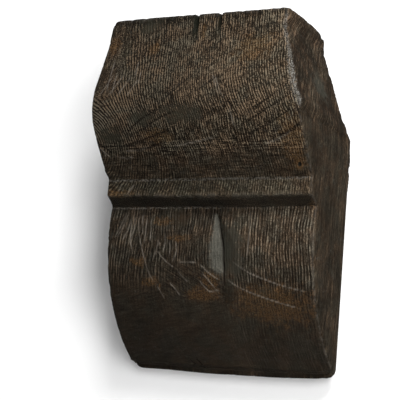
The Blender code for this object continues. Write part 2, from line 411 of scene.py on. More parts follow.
# %% Mark the arrises and the worn corners
def arris_lines():
    """The front's four arrises and the back's, as a mesh of edges, for wear to be measured from."""
    lines = [
        [(low.x, y, z) for y, z in profile],
        [(right_edge(y, z), y, z) for y, z in profile],
        [(x, -row_depths[0], high.z) for x in across_run(-row_depths[0], high.z, 4.0)],
        [(x, -row_depths[-1], low.z) for x in across_run(-row_depths[-1], low.z, 4.0)],
        [(right_edge(y, high.z), y, high.z) for y in [-row_depths[0], *top_run, 0.0]],
        [(low.x, y, high.z) for y in (-row_depths[0], 0.0)],
        [(right_edge(0.0, height), 0.0, height) for height in back_run],
        [(low.x, 0.0, height) for height in (high.z, low.z)],
        [(x, -58.0, -4.0) for x in (low.x, high.x)],
    ]
    places, edges = [], []
    for line in lines:
        edges += [(len(places) + i, len(places) + i + 1) for i in range(len(line) - 1)]
        places += [Vector(point) * MM for point in line]
    mesh = bpy.data.meshes.new("arris_lines")
    mesh.from_pydata(places, edges, [])
    return bpy.data.objects.new("arris_lines", mesh)


WORN_CORNERS = ((75, 0, -115), (54, 0, 117))
corner_mesh = bpy.data.meshes.new("worn_corner_points")
corner_mesh.from_pydata([Vector(corner) * MM for corner in WORN_CORNERS], [], [])
stroke_objects["Arrises"] = arris_lines()
stroke_objects["Worn corners"] = bpy.data.objects.new("worn_corner_points", corner_mesh)
stroke_objects["Solid"] = solid
print("arris lines have", len(stroke_objects["Arrises"].data.edges), "edges")

# %% [markdown]
# ## Small helpers for node trees
#
# Geometry nodes and shader nodes share their maths, mix and noise nodes. A few helpers that add a node
# and wire it in one line keep the trees readable, and let one function serve both kinds of tree. Each
# takes the tree first. Where one tree is built for pages, the helpers are tied to it and get short names.


# %% Helpers that add and wire nodes
def feed(tree, socket, value):
    """Links a socket to another, or sets it to a value."""
    if isinstance(value, bpy.types.NodeSocket):
        tree.links.new(value, socket)
    elif value is not None:
        socket.default_value = value


def add(tree, kind, *values, named=None, **settings):
    """Adds a node, applies its settings, feeds its shown sockets in order and others by name."""
    made = tree.nodes.new(kind)
    for name, setting in settings.items():
        setattr(made, name, setting)
    shown = [socket for socket in made.inputs if socket.enabled]
    for socket, value in zip(shown, values):
        feed(tree, socket, value)
    for name, value in (named or {}).items():
        feed(tree, made.inputs[name], value)
    return made


def result(made):
    """The first output that a node shows."""
    return next(socket for socket in made.outputs if socket.enabled)


def calc(tree, operation, *values):
    """The result of a maths node."""
    return result(add(tree, "ShaderNodeMath", *values, operation=operation))


def total(tree, *values):
    """The sum of several values."""
    running = values[0]
    for value in values[1:]:
        running = calc(tree, "ADD", running, value)
    return running


def product(tree, *values):
    """The product of several values."""
    running = values[0]
    for value in values[1:]:
        running = calc(tree, "MULTIPLY", running, value)
    return running


def fade(tree, value, start, end, low_value=0.0, high_value=1.0):
    """A smooth step of value from start to end, clamped outside."""
    return result(add(tree, "ShaderNodeMapRange", value, start, end, low_value, high_value,
                      interpolation_type="SMOOTHSTEP"))


def parts(tree, vector):
    """The three parts of a vector."""
    return add(tree, "ShaderNodeSeparateXYZ", vector).outputs[:]


def joined(tree, *values):
    """A vector from three parts."""
    return result(add(tree, "ShaderNodeCombineXYZ", *values))


def scaled(tree, vector, factor):
    """A vector times a number."""
    return result(add(tree, "ShaderNodeVectorMath", vector, operation="SCALE", named={"Scale": factor}))


def noise(tree, vector, size, detail=2.0, roughness=0.5):
    """Noise between 0 and 1 whose lumps are about that size, in the vector's own unit."""
    return result(add(tree, "ShaderNodeTexNoise", vector, 1.0 / size, detail, roughness))


def without(tree, mask, share=1.0):
    """1 where a mask is 0, and less by the share where the mask is 1."""
    return calc(tree, "SUBTRACT", 1.0, product(tree, mask, share))


def swing(tree, value, *amounts):
    """A noise value turned into a swing about zero, as large as the amounts multiplied together."""
    return product(tree, calc(tree, "SUBTRACT", value, 0.5), *amounts)


def tied(tree):
    """The helpers above with the tree already given, so that a formula reads like one."""
    return [partial(helper, tree) for helper in (product, total, fade, calc, noise, joined, without, swing)]


def new_tree(name, kind, inputs=(), outputs=()):
    """A node group with named sockets. Returns it with its input and output nodes."""
    tree = bpy.data.node_groups.new(name, kind)
    for socket_name, socket_kind, value in inputs:
        socket = tree.interface.new_socket(socket_name, in_out="INPUT", socket_type=socket_kind)
        if value is not None:
            socket.default_value = value
    for socket_name, socket_kind in outputs:
        tree.interface.new_socket(socket_name, in_out="OUTPUT", socket_type=socket_kind)
    return tree, tree.nodes.new("NodeGroupInput"), tree.nodes.new("NodeGroupOutput")


# %% [markdown]
# ## Where the rings lie
#
# Rings are circles about the heart of the tree, pushed about by knots and slow growth. The heart lies
# just off the block's left edge, low on the head. Close to it the rings are round. Higher up the block
# was cut almost along them, so they straighten into steep lines that lean back to the left, and the
# hollow belly cuts them nearly upright. One formula serves the head and another the belly, and the two
# meet in the dark groove between them. Noise bends them a little.


# %% Work out the distance from the heart and the way along each ring
HEART_ACROSS = -84.0
HEART_HEIGHT = 28.0
HEART_FALL = 18.0
ROUND_REACH = 28.0
LEAN_START = 42.0
BELLY_RING_SHARE = 0.93


def levelled_off(tree, value, reach):
    """A value that grows freely up to the reach and hardly at all past it."""
    grown = calc(tree, "POWER", calc(tree, "DIVIDE", calc(tree, "ABSOLUTE", value), reach), 4.0)
    return calc(tree, "DIVIDE", value, calc(tree, "POWER", total(tree, 1.0, grown), 0.25))


def length_of(tree, first, second):
    """The length of a flat step whose two parts are given."""
    return calc(tree, "SQRT", total(tree, product(tree, first, first), product(tree, second, second)))


def ring_field(tree, place):
    """The distance from the heart and the way along the ring, in mm, at a place given in mm."""
    x, _, z = parts(tree, place)
    across = calc(tree, "SUBTRACT", x, HEART_ACROSS)
    up = total(tree, z, -HEART_HEIGHT, product(tree, fade(tree, x, -50.0, 10.0), HEART_FALL))
    over = calc(tree, "MAXIMUM", 0.0, total(tree, z, -LEAN_START))
    lean = total(tree, product(tree, over, 0.14), product(
        tree, levelled_off(tree, over, 36.0), fade(tree, x, -40.0, 10.0, 0.05, 0.22)))
    round_part = length_of(tree, across, levelled_off(tree, up, ROUND_REACH))
    head = product(tree, total(tree, round_part, lean), 1.08)
    head_along = product(tree, calc(tree, "ARCTAN2", up, across), length_of(tree, across, up))
    belly = total(tree, product(tree, x, BELLY_RING_SHARE), product(
        tree, total(tree, z, 12.0), fade(tree, x, -62.0, -22.0, -0.12, 0.02)))
    on_head = fade(tree, z, -10.0, -4.0)
    on_belly = calc(tree, "SUBTRACT", 1.0, on_head)
    rings = total(tree, product(tree, head, on_head), product(tree, belly, on_belly))
    along = total(tree, product(tree, head_along, on_head), product(tree, z, 0.55, on_belly))
    slow = swing(tree, noise(tree, place, 32.0), 5.0)
    quick = swing(tree, noise(tree, place, 7.0), fade(tree, z, -8.0, -16.0, 1.3, 0.6))
    return total(tree, rings, slow, quick), along


# %% [markdown]
# ## Settling the skin and weathering it
#
# One geometry nodes tree does the shaping. It first settles the sharp-cornered skin on the solid's
# rounded surface. Where the solid has a check cut in it, the tree measures a clean stretch of the block
# instead, since the front is the same all the way across. The next cells add up the relief, store what
# the finish needs to know, such as how near an arris a point is, and move each point along its normal.

# %% Build the weathering tree
RING_PITCH = 1.9
CUT_MIDDLE, CUT_REACH = -11.0, 55.0
weather, given, taken = new_tree(
    "settle_and_weather", "GeometryNodeTree",
    [("Geometry", "NodeSocketGeometry", None),
     *((name, "NodeSocketObject", None) for name in stroke_objects),
     ("Ring relief", "NodeSocketFloat", 0.13),
     ("Carving waves", "NodeSocketFloat", 0.8),
     ("Hewn lumps", "NodeSocketFloat", 1.6),
     ("Check depth", "NodeSocketFloat", 0.75),
     ("Long check depth", "NodeSocketFloat", 2.6),
     ("Chip depth", "NodeSocketFloat", 1.1),
     ("Finish", "NodeSocketMaterial", None)],
    [("Geometry", "NodeSocketGeometry")],
)


def nearest(tree, target, point, element):
    """A node that finds the nearest point of an object's faces, edges or points."""
    shape = add(tree, "GeometryNodeObjectInfo", target).outputs["Geometry"]
    return add(tree, "GeometryNodeProximity", shape, None, point, target_element=element)


def kept(tree, geometry, name, value):
    """Stores a value on the points under a name and returns the geometry."""
    return result(add(tree, "GeometryNodeStoreNamedAttribute", geometry, True, name, value,
                      data_type="FLOAT", domain="POINT"))


def point_mm():
    """Where the points stand at this stage of the tree, in mm."""
    return scaled(weather, result(add(weather, "GeometryNodeInputPosition")), 1 / MM)


times, plus, ramp, maths, lumpy, vector, less, sway = tied(weather)
start_mm = point_mm()
x, y, z = parts(weather, start_mm)
near_cuts = maths("LESS_THAN", maths("ABSOLUTE", plus(x, -CUT_MIDDLE)), CUT_REACH)
clean_x = result(add(weather, "ShaderNodeMix", near_cuts, x, CLEAN_ACROSS))
settled = nearest(weather, given.outputs["Solid"], scaled(weather, vector(clean_x, y, z), MM), "FACES")
on_solid = parts(weather, settled.outputs["Position"])
settled_x = result(add(weather, "ShaderNodeMix", near_cuts, on_solid[0], times(x, MM)))
arris = nearest(weather, given.outputs["Arrises"], scaled(weather, start_mm, MM), "EDGES")
skin = kept(weather, given.outputs["Geometry"], "arris_mm", times(arris.outputs["Distance"], 1 / MM))
skin = result(add(weather, "GeometryNodeSetPosition", skin, True, vector(settled_x, *on_solid[1:])))
print("settling tree has", len(weather.nodes), "nodes")


# %% Read the settled surface and which way it faces
def read_back(tree, name):
    """A stored value read back by its name."""
    return result(add(tree, "GeometryNodeInputNamedAttribute", name, data_type="FLOAT"))


def stroke_distance(name):
    """How far a point is from the strokes of that name on the drawing plane, in mm."""
    return times(nearest(weather, given.outputs[name], flat_place, "EDGES").outputs["Distance"], 1 / MM)


def stroke_mask(name, inner, outer):
    """1 on a stroke and 0 away from it, for points on the front."""
    return times(ramp(stroke_distance(name), outer, inner), facing_front)


place = point_mm()
x, y, z = parts(weather, place)
flat_place = scaled(weather, vector(x, 0.0, z), MM)
normal = result(add(weather, "GeometryNodeInputNormal"))
normal_x, normal_y, normal_z = parts(weather, normal)
facing_front = times(ramp(normal_y, -0.05, -0.3), ramp(normal_x, 0.8, 0.55))
facing_side = ramp(normal_x, 0.55, 0.85)
facing_cap = ramp(maths("ABSOLUTE", normal_z), 0.75, 0.92)
off_back = ramp(normal_y, 0.7, 0.3)
print("surface is read,", len(weather.nodes), "nodes so far")

# %% [markdown]
# ### Rings, rays and checks
#
# The hard late wood of each ring stands a little proud, so the ring distance goes through a cosine. Noise
# breaks the rings, as wear does, and they fade at the upper left, where the saw ran along them. The long
# check lies in a valley that is steep at its slit and widens as it runs down.

# %% Shape the rings, rays and checks
TOP_CHECK_GAPE = 1.9

ring_mm, arc_mm = ring_field(weather, place)
ring_wave = maths("COSINE", times(ring_mm, 2 * math.pi / RING_PITCH))
along_saw = times(ramp(x, -54.0, -64.0), ramp(z, 50.0, 62.0))
broken = ramp(lumpy(vector(ring_mm, times(z, 0.12), 0.0), 1.1), 0.3, 0.7)
rings = times(ring_wave, less(along_saw), broken, facing_front, given.outputs["Ring relief"])

crack = stroke_mask("Dark checks", 0.22, 0.72)
fine_check = stroke_mask("Fine checks", 0.1, 0.6)
ray = stroke_mask("Pale rays", 0.05, 0.55)
hole = stroke_mask("Nail hole", 0.4, 1.1)

open_share = ramp(z, 97.0, 112.0)
notch_mm = stroke_distance("Top checks")
notch = times(ramp(notch_mm, times(open_share, TOP_CHECK_GAPE), 0.0), open_share, ramp(y, -52.0, -66.0))

check_line = nearest(weather, given.outputs["Long check"], flat_place, "EDGES")
check_side = maths("SUBTRACT", x, times(parts(weather, check_line.outputs["Position"])[0], 1 / MM))
check_away = maths("ABSOLUTE", check_side)
check_ends = times(ramp(z, -13.0, -19.0), ramp(z, -58.0, -46.0), facing_front)
valley_width = plus(2.0, times(ramp(z, -12.0, -42.0), 8.5))
valley_share = maths("SUBTRACT", 1.0, maths("DIVIDE", check_away, valley_width))
valley = times(maths("MAXIMUM", 0.0, valley_share), check_ends)
slit = times(ramp(check_away, 1.2, 0.2), ramp(z, -11.0, -30.0), ramp(z, -66.0, -52.0), facing_front)
print("rings and checks are shaped,", len(weather.nodes), "nodes so far")

# %% [markdown]
# ### The carver's hand
#
# The front was finished with slow strokes that left shallow waves. The hewn corner is rougher, with lumps
# and a bulge where the axe was stopped, and its foot runs softly into the flat side. The block has
# swollen a little at the top and sagged at the underside, as old timber does.


# %% Shape the waves, the hewn corner and the soft creases
def eased(value, middle, above, below, amount):
    """An amount that rounds off or fills a crease, largest at its middle, with reaches either side."""
    off = plus(value, -middle)
    share = maths("MAXIMUM", maths("DIVIDE", off, above), maths("DIVIDE", off, -below))
    left_over = maths("MAXIMUM", 0.0, maths("SUBTRACT", 1.0, share))
    return times(left_over, left_over, amount)


carved = sway(lumpy(place, 30.0, 2.0), facing_front, given.outputs["Carving waves"])
on_hewn = times(facing_side, ramp(z, 44.0, 54.0))
lumps = sway(lumpy(place, 14.0, 3.0, 0.6), on_hewn, given.outputs["Hewn lumps"])
bulge_away = length_of(weather, maths("DIVIDE", plus(y, 34.0), 30.0), maths("DIVIDE", plus(z, -108.0), 24.0))
bulge = times(ramp(bulge_away, 1.0, 0.0), ramp(x, 44.0, 50.0), 1.2)
side_grain = sway(lumpy(vector(x, y, times(z, 0.12)), 1.6), facing_side, 0.3)
side_waves = times(facing_side, plus(
    sway(lumpy(place, 34.0), 0.9),
    times(ramp(z, -5.0, 25.0), ramp(z, 45.0, 65.0, 0.6, 0.2)),
    times(ramp(z, -60.0, -100.0), -0.5)))

knee = times(eased(z, 43.0, 14.0, 14.0, -1.6), facing_side)
toe = times(facing_front, plus(times(ramp(z, -109.0, -116.0), -3.4), eased(z, -110.0, 4.5, 5.0, 1.6)))
lip = times(ramp(z, 106.0, 115.0), ramp(normal_x, 0.4, 0.8), ramp(y, -35.0, -60.0), 0.7)
lift = times(ramp(normal_z, 0.25, 0.75), 1.3)
spread = times(ramp(normal_x, -0.25, -0.75), ramp(maths("ABSOLUTE", plus(z, -1.0)), 6.0, 12.0, -0.7, 0.5))
sag = times(ramp(maths("ABSOLUTE", plus(x, -10.0)), 70.0, 20.0), ramp(normal_z, -0.3, -0.8), 1.2)
print("waves and creases are shaped,", len(weather.nodes), "nodes so far")

# %% Wear the arrises and corners, and add everything up
arris_mm = read_back(weather, "arris_mm")
chips = times(
    ramp(lumpy(place, 6.5, 3.0, 0.6), 0.5, 0.72), ramp(arris_mm, 5.0, 0.8), off_back,
    ramp(x, -66.0, -56.0, 0.35, 1.0), given.outputs["Chip depth"])
corner = nearest(weather, given.outputs["Worn corners"], scaled(weather, place, MM), "POINTS")
rubbed = times(ramp(times(corner.outputs["Distance"], 1 / MM), 12.0, 1.0), 2.8)
chamfer = times(
    ramp(arris_mm, 4.5, 0.0), ramp(z, 44.0, 54.0), ramp(x, 46.0, 52.0), ramp(y, -40.0, -60.0),
    ramp(z, 112.0, 100.0), -1.3)

relief = plus(
    rings, carved, lumps, bulge, side_grain, side_waves, sag, knee, toe, lip, lift, spread, chamfer,
    times(ray, 0.2),
    times(crack, given.outputs["Check depth"], -1.0),
    times(fine_check, given.outputs["Check depth"], -0.35),
    times(hole, -1.3),
    times(notch, -2.6),
    times(valley, given.outputs["Long check depth"], -1.0),
    times(slit, -1.5),
    times(chips, -1.0),
    times(rubbed, -1.0),
)
print("relief tree has", len(weather.nodes), "nodes")

# %% [markdown]
# ### Keeping values for the finish, and moving the points
#
# The finish can't see strokes or distances, so each value that it needs is stored on the points under a
# name. Then each point moves along its normal by the relief. The worn corners are squeezed into quarter
# circles, which keeps the back on the wall plane.

# %% Store what the finish reads and move the points
stored_values = {
    "ring_mm": ring_mm, "arc_mm": arc_mm, "ray": ray, "fine_check": fine_check, "notch_mm": notch_mm,
    "crack": plus(crack, times(notch, 0.95), slit), "hole": stroke_mask("Nail hole", 0.6, 3.6),
    "front": facing_front, "side": facing_side, "cap": facing_cap,
    "flank": times(valley, maths("SIGN", check_side)), "relief": relief,
}
for value_name, value in stored_values.items():
    skin = kept(weather, skin, value_name, value)
moved = scaled(weather, normal, times(read_back(weather, "relief"), MM, off_back))
skin = result(add(weather, "GeometryNodeSetPosition", skin, True, None, moved))
print("stored:", ", ".join(stored_values))

# %% Squeeze the corners, smooth and finish the tree
WORN_ROUND = ((-1, 1, 5.0), (-1, -1, 9.0), (1, -1, 6.0))


def corner_squeeze(across, height, side_x, side_z, reach):
    """The step in x and z that squeezes a square corner of the block into a quarter circle."""
    out_x = high.x if side_x > 0 else -low.x
    out_z = high.z if side_z > 0 else -low.z
    share_x = maths("DIVIDE", maths("MAXIMUM", 0.0, plus(times(across, side_x), reach - out_x)), reach)
    share_z = maths("DIVIDE", maths("MAXIMUM", 0.0, plus(times(height, side_z), reach - out_z)), reach)
    away = maths("MAXIMUM", 0.001, length_of(weather, share_x, share_z))
    shrink = maths("SUBTRACT", maths("DIVIDE", maths("MAXIMUM", share_x, share_z), away), 1.0)
    shrink = times(shrink, maths("GREATER_THAN", maths("MINIMUM", share_x, share_z), 0.0))
    return times(share_x, shrink, reach * side_x), times(share_z, shrink, reach * side_z)


moved_x, moved_y, moved_z = parts(weather, point_mm())
for side_x, side_z, reach in WORN_ROUND:
    step_x, step_z = corner_squeeze(moved_x, moved_z, side_x, side_z, reach)
    moved_x, moved_z = plus(moved_x, step_x), plus(moved_z, step_z)
against_wall = vector(moved_x, maths("MINIMUM", moved_y, 0.0), moved_z)
skin = result(add(weather, "GeometryNodeSetPosition", skin, True, scaled(weather, against_wall, MM)))
skin = result(add(weather, "GeometryNodeSetShadeSmooth", skin))
skin = result(add(weather, "GeometryNodeRealizeInstances", skin))
skin = result(add(weather, "GeometryNodeSetMaterial", skin, True, given.outputs["Finish"]))
weather.links.new(skin, taken.inputs[0])
print("weathering tree has", len(weather.nodes), "nodes and", len(weather.links), "links")

# %% [markdown]
# ## The finish
#
# The wood is nearly black where the stain lies deep, in the pores and checks and under the nose, and
# grey to brown on the raised grain that hands and cloths have rubbed. In places the stain has worn
# through to orange-brown wood. The grain is worked out from the ring distance stored on the mesh,
# so colour and relief follow the same rings. Two effects are node groups: a soft-edged patch, used for
# each place where the stain is thin, and a streaked grain, used for the front and for the side.


# %% Make the soft patch and streaked grain groups
def soft_patch_group():
    """A mask that is 1 at a centre and fades out to an ellipse, with a ragged edge."""
    tree, given_here, taken_here = new_tree(
        "soft_patch", "ShaderNodeTree",
        [("Place mm", "NodeSocketVector", None), ("Centre", "NodeSocketVector", (0, 0, 0)),
         ("Reach", "NodeSocketVector", (10, 10, 10)), ("Ragged", "NodeSocketFloat", 0.5)],
        [("Mask", "NodeSocketFloat")])
    place_here, centre, reach, ragged = given_here.outputs[:4]
    offset = result(add(tree, "ShaderNodeVectorMath", place_here, centre, operation="SUBTRACT"))
    shaped = result(add(tree, "ShaderNodeVectorMath", offset, reach, operation="DIVIDE"))
    away = add(tree, "ShaderNodeVectorMath", shaped, operation="LENGTH").outputs["Value"]
    away = total(tree, away, swing(tree, noise(tree, place_here, 5.0, 4.0, 0.72), ragged, 3.0))
    tree.links.new(fade(tree, away, 1.0, 0.35), taken_here.inputs["Mask"])
    return tree


def streaked_grain_group():
    """Broken lines that run along one direction of a flat coordinate, with pores between them."""
    tree, given_here, taken_here = new_tree(
        "streaked_grain", "ShaderNodeTree",
        [("Across mm", "NodeSocketFloat", 0.0), ("Along mm", "NodeSocketFloat", 0.0),
         ("Third mm", "NodeSocketFloat", 0.0), ("Line width", "NodeSocketFloat", 1.0),
         ("Stretch", "NodeSocketFloat", 8.0)],
        [("Streaks", "NodeSocketFloat"), ("Pores", "NodeSocketFloat")])
    across_mm, along_mm, third_mm, line_width, stretch = given_here.outputs[:5]
    across = calc(tree, "DIVIDE", across_mm, line_width)
    along = calc(tree, "DIVIDE", along_mm, product(tree, line_width, stretch))
    third = product(tree, third_mm, 0.05)
    streaks = noise(tree, joined(tree, across, along, third), 1.0, 2.0, 0.6)
    finer = joined(tree, product(tree, across, 2.1), product(tree, along, 7.0), third)
    pores = noise(tree, finer, 1.0, 2.0, 0.6)
    tree.links.new(streaks, taken_here.inputs["Streaks"])
    tree.links.new(pores, taken_here.inputs["Pores"])
    return tree


soft_patch = soft_patch_group()
streaked_grain = streaked_grain_group()
print("finish groups:", soft_patch.name, streaked_grain.name)

# %% Start the oak material
oak = bpy.data.materials.new("dark_oak")
oak.use_nodes = True
finish = oak.node_tree
shader = finish.nodes["Principled BSDF"]
times, plus, ramp, maths, lumpy, vector, less, sway = tied(finish)


def stored_value(name):
    """A value stored on the mesh, read in the material."""
    return add(finish, "ShaderNodeAttribute", attribute_name=name).outputs["Fac"]


def mixed(share, first, second, blend="MIX"):
    """Two colours mixed by a share."""
    made = add(finish, "ShaderNodeMix", data_type="RGBA", blend_type=blend)
    feed(finish, made.inputs["Factor"], share)
    for name, value in (("A", first), ("B", second)):
        feed(finish, next(s for s in made.inputs if s.name == name and s.enabled), value)
    return result(made)


def grain(across, along, third, width, stretch):
    """The streaked grain group placed in the material."""
    made = add(finish, "ShaderNodeGroup", node_tree=streaked_grain)
    for name, value in zip(("Across mm", "Along mm", "Third mm", "Line width", "Stretch"),
                           (across, along, third, width, stretch)):
        feed(finish, made.inputs[name], value)
    return made.outputs["Streaks"], made.outputs["Pores"]


def patch(centre, reach, ragged=0.8):
    """The soft patch group placed in the material, with its centre and reach in mm."""
    made = add(finish, "ShaderNodeGroup", node_tree=soft_patch)
    for name, value in zip(("Place mm", "Centre", "Reach", "Ragged"), (place_mm, centre, reach, ragged)):
        feed(finish, made.inputs[name], value)
    return made.outputs["Mask"]


def most(*masks):
    """The largest of several masks."""
    running = masks[0]
    for mask in masks[1:]:
        running = maths("MAXIMUM", running, mask)
    return running


def patches(places):
    """The largest of the soft patches at several places."""
    return most(*(patch(*place) for place in places))


print("material", oak.name, "is started")

# %% [markdown]
# ### Grain
#
# The front's streaks run across and along the rings. The sides are long grain, so their streaks run up the
# block, and lean with the hewn face above its foot. Here and there a scraper or a cloth left streaks of
# its own across the rings. The same noises are used again and again, so that stain, wear and dirt agree.

# %% Place the grain
place_mm = scaled(finish, finish.nodes.new("ShaderNodeTexCoord").outputs["Object"], 1 / MM)
px, py, pz = parts(finish, place_mm)
ring, arc = stored_value("ring_mm"), stored_value("arc_mm")
front, side = stored_value("front"), stored_value("side")
crack_mask, ray_mask = stored_value("crack"), stored_value("ray")
ring_line = maths("COSINE", times(ring, 2 * math.pi / RING_PITCH))
front_streaks, front_pores = grain(ring, arc, py, 0.60, 7.0)
ring_beads, _ = grain(ring, arc, py, 1.7, 1.7)
ray_streaks, _ = grain(arc, ring, py, 0.9, 14.0)
above_knee = plus(pz, -46.0)
soft_rise = plus(above_knee, maths("SQRT", plus(times(above_knee, above_knee), 30.0)))
past_knee = times(ramp(px, 0.0, 40.0, 0.0, 0.5), soft_rise)
side_streaks, side_pores = grain(plus(py, times(past_knee, -0.9)), pz, px, 1.4, 16.0)
cap_streaks, _ = grain(px, py, pz, 1.5, 9.0)
sweep_streaks, _ = grain(
    plus(times(px, 0.47), times(pz, 0.88)), plus(times(px, 0.88), times(pz, -0.47)), py, 0.8, 14.0)
tool_streaks, _ = grain(plus(times(px, -0.2), pz), px, py, 1.2, 9.0)
upper_streaks, _ = grain(px, pz, py, 0.9, 12.0)
level_streaks = lumpy(vector(times(px, 0.06), 0.0, pz), 0.9, 2.0, 0.6)
stipple = lumpy(place_mm, 0.8, 1.0, 0.6)
blotches = lumpy(place_mm, 24.0, 4.0, 0.6)
rag = lumpy(place_mm, 4.0, 3.0, 0.65)
print("grain is in place,", len(finish.nodes), "nodes so far")

# %% [markdown]
# ### Where the front differs
#
# The head, the slope under the nose, the fillet and the belly catch light and wear differently, so each
# gets a mask with soft ends. Some places were rubbed smooth, others hold more stain. They are soft patches,
# each a centre and a reach in mm.

# %% Mask the regions of the front
SMOOTH_PLACES = (
    ((-10, -80, 44), (21, 40, 8)), ((-38, -80, 42), (12, 40, 6)), ((-21, -50, -18), (9, 30, 7)),
    ((16, -40, -62), (7, 20, 14)), ((-63, -60, 34), (15, 40, 9)), ((-45, -66, 109), (12, 20, 7)),
)
DARK_PLACES = (
    ((2, -80, 43), (34, 40, 15)), ((-48, -68, 111), (9, 20, 4)), ((-36, -80, 44), (14, 30, 10)),
    ((15, -40, -66), (8, 20, 11)), ((-60, -60, 33), (14, 40, 9)), ((-34, -68, 112), (40, 20, 6)),
)
BESIDE_LONG_CHECK = ((18, -50, -40), (10, 30, 26), 1.1)

on_head = ramp(pz, -9.0, -4.0)
above_fillet = ramp(pz, 6.4, 7.4)
under_nose = times(ramp(pz, 27.0, 17.0), above_fillet)
on_fillet = times(ramp(pz, 7.4, 6.4), ramp(pz, -6.0, -4.0))
level_lines = times(ramp(pz, 40.0, 22.0), above_fillet)
left_edge = times(ramp(px, -52.0, -64.0), ramp(pz, 48.0, 62.0))
upper_band = most(ramp(pz, 92.0, 104.0), left_edge)
near_heart = times(ramp(px, -30.0, -50.0), ramp(pz, 66.0, 56.0), ramp(pz, 26.0, 32.0))
belly_right = times(ramp(px, 12.0, 26.0), ramp(pz, -8.0, -12.0))
left_part = ramp(px, 22.0, 4.0)
swept = times(ramp(pz, -44.0, -54.0), ramp(pz, -76.0, -66.0), left_part, ramp(px, -46.0, -26.0))
tooled = times(ramp(pz, -54.0, -70.0), plus(0.25, times(left_part, 0.75)))
check_shade_side = times(front, patch(*BESIDE_LONG_CHECK))
smooth_places = most(patches(SMOOTH_PLACES), check_shade_side)
dark_places = patches(DARK_PLACES)
upright = less(most(times(swept, 0.6), times(tooled, 0.9), left_edge))
print("regions are masked,", len(finish.nodes), "nodes so far")

# %% [markdown]
# ### How dark each place is
#
# One number, the tone, says how much stain shows. Streaks, beads, blotches and ring lines swing it about
# zero, each as strongly as that region shows. It is then read off a ramp of colours, from stain in the
# pores to bare raised grain. A painted light and shade, lighter towards the right and darker under the
# nose and low on the belly, changes slowly across the block and is multiplied in afterwards.

# %% Work out tone and the painted light and shade for the front
contrast = times(
    ramp(pz, -45.0, -88.0, 1.0, 0.70), ramp(pz, -66.0, -88.0, 1.0, 0.76), ramp(pz, 0.0, -14.0, 1.0, 0.72),
    ramp(pz, 45.0, 25.0, 1.0, 0.85), less(under_nose, 0.50), less(smooth_places, 0.68), less(on_fillet, 0.30))
head_left = times(on_head, ramp(px, 10.0, -30.0))
ring_strength = times(
    plus(0.44, times(near_heart, 0.34), times(head_left, 0.14), times(belly_right, 0.10)),
    ramp(ring_beads, 0.36, 0.62, 0.5, 1.5), ramp(pz, -62.0, -80.0, 1.0, 0.45))
tone = times(contrast, plus(
    sway(front_streaks, 4.2, upright),
    sway(blotches, 0.9),
    sway(stipple, plus(2.0, on_head)),
    sway(ring_beads, 0.5, upright),
    sway(ray_streaks, 0.9),
    sway(sweep_streaks, 2.6, swept),
    sway(tool_streaks, 2.0, tooled),
    sway(upper_streaks, 2.6, upper_band),
    sway(level_streaks, 4.0, level_lines),
    times(ring_line, upright, ring_strength)))
tone = plus(tone, times(dark_places, -0.22), times(ramp(pz, 109.0, 114.5), -0.5))
shown_tone = ramp(tone, -0.75, 0.75)
# Painted light and shade: lighter towards the right and on the fillet, where the light falls, and darker
# under the nose, over the belly's left and low on the belly, where shade falls.
painted_light_and_shade = times(
    ramp(px, -60.0, 60.0, 0.78, 1.10),
    plus(times(on_head, -0.03), ramp(px, -60.0, 60.0, 0.62, 0.72)),
    ramp(pz, -20.0, -45.0, 1.0, 0.90), ramp(pz, -55.0, -85.0, 1.0, 0.96),
    less(times(ramp(pz, -46.0, -60.0), ramp(px, 12.0, 32.0)), 0.33),
    plus(on_head, times(less(on_head), ramp(px, 8.0, 30.0, 0.84, 1.03))),
    less(under_nose, ramp(px, -30.0, 40.0, 0.04, 0.30)),
    less(on_fillet, ramp(px, -20.0, 30.0, -0.14, -0.02)))
print("tone and brightness are worked out,", len(finish.nodes), "nodes so far")

# %% Colour the front
# Near-black, used for stain and for painted shade in the groove and the nail hole.
DARK_STAIN_AND_SHADE = (0.0085, 0.0078, 0.0058, 1)
RUBBED_FLAT = (0.0320, 0.0320, 0.0230, 1)
COOL_STAIN, WARM_STAIN = (0.94, 0.97, 0.92, 1), (1.10, 0.96, 0.82, 1)
HEAD_TINT, FILLET_TINT = (1.0, 0.96, 0.90, 1), (0.72, 0.80, 0.82, 1)
FRONT_STEPS = (
    (0.00, (0.0070, 0.0048, 0.0024, 1)), (0.14, (0.0145, 0.0102, 0.0058, 1)),
    (0.34, (0.0270, 0.0198, 0.0125, 1)), (0.56, (0.0420, 0.0320, 0.0218, 1)),
    (0.78, (0.0680, 0.0540, 0.0390, 1)), (0.92, (0.1080, 0.0885, 0.0660, 1)),
    (1.00, (0.1900, 0.1600, 0.1250, 1)),
)


def tinted(tone_value, steps):
    """A colour read off a ramp of (position, colour) steps."""
    made = add(finish, "ShaderNodeValToRGB", tone_value)
    stops = made.color_ramp.elements
    stops[0].position, stops[0].color = steps[0]
    stops[1].position, stops[1].color = steps[-1]
    for position, stop_colour in steps[1:-1]:
        stops.new(position).color = stop_colour
    return made.outputs["Color"]


def dyed(colour_value, tint):
    """A colour multiplied by a tint, or by a number that changes over the surface."""
    return mixed(1.0, colour_value, tint, "MULTIPLY")


def grey(value):
    """A number as a grey, to multiply a colour with."""
    return vector(value, value, value)


warmth = mixed(ramp(lumpy(place_mm, 13.0, 3.0, 0.6), 0.38, 0.62), COOL_STAIN, WARM_STAIN)
front_colour = dyed(dyed(tinted(shown_tone, FRONT_STEPS), grey(painted_light_and_shade)), warmth)
rubbed_flat = times(smooth_places, on_head, ramp(rag, 0.30, 0.62, 0.15, 0.45))
front_colour = mixed(rubbed_flat, front_colour, RUBBED_FLAT)
front_colour = mixed(on_head, front_colour, dyed(front_colour, HEAD_TINT))
front_colour = mixed(
    times(on_fillet, ramp(px, 20.0, 45.0, 0.8, 0.2)), front_colour, dyed(front_colour, FILLET_TINT))
print("front is coloured,", len(finish.nodes), "nodes so far")

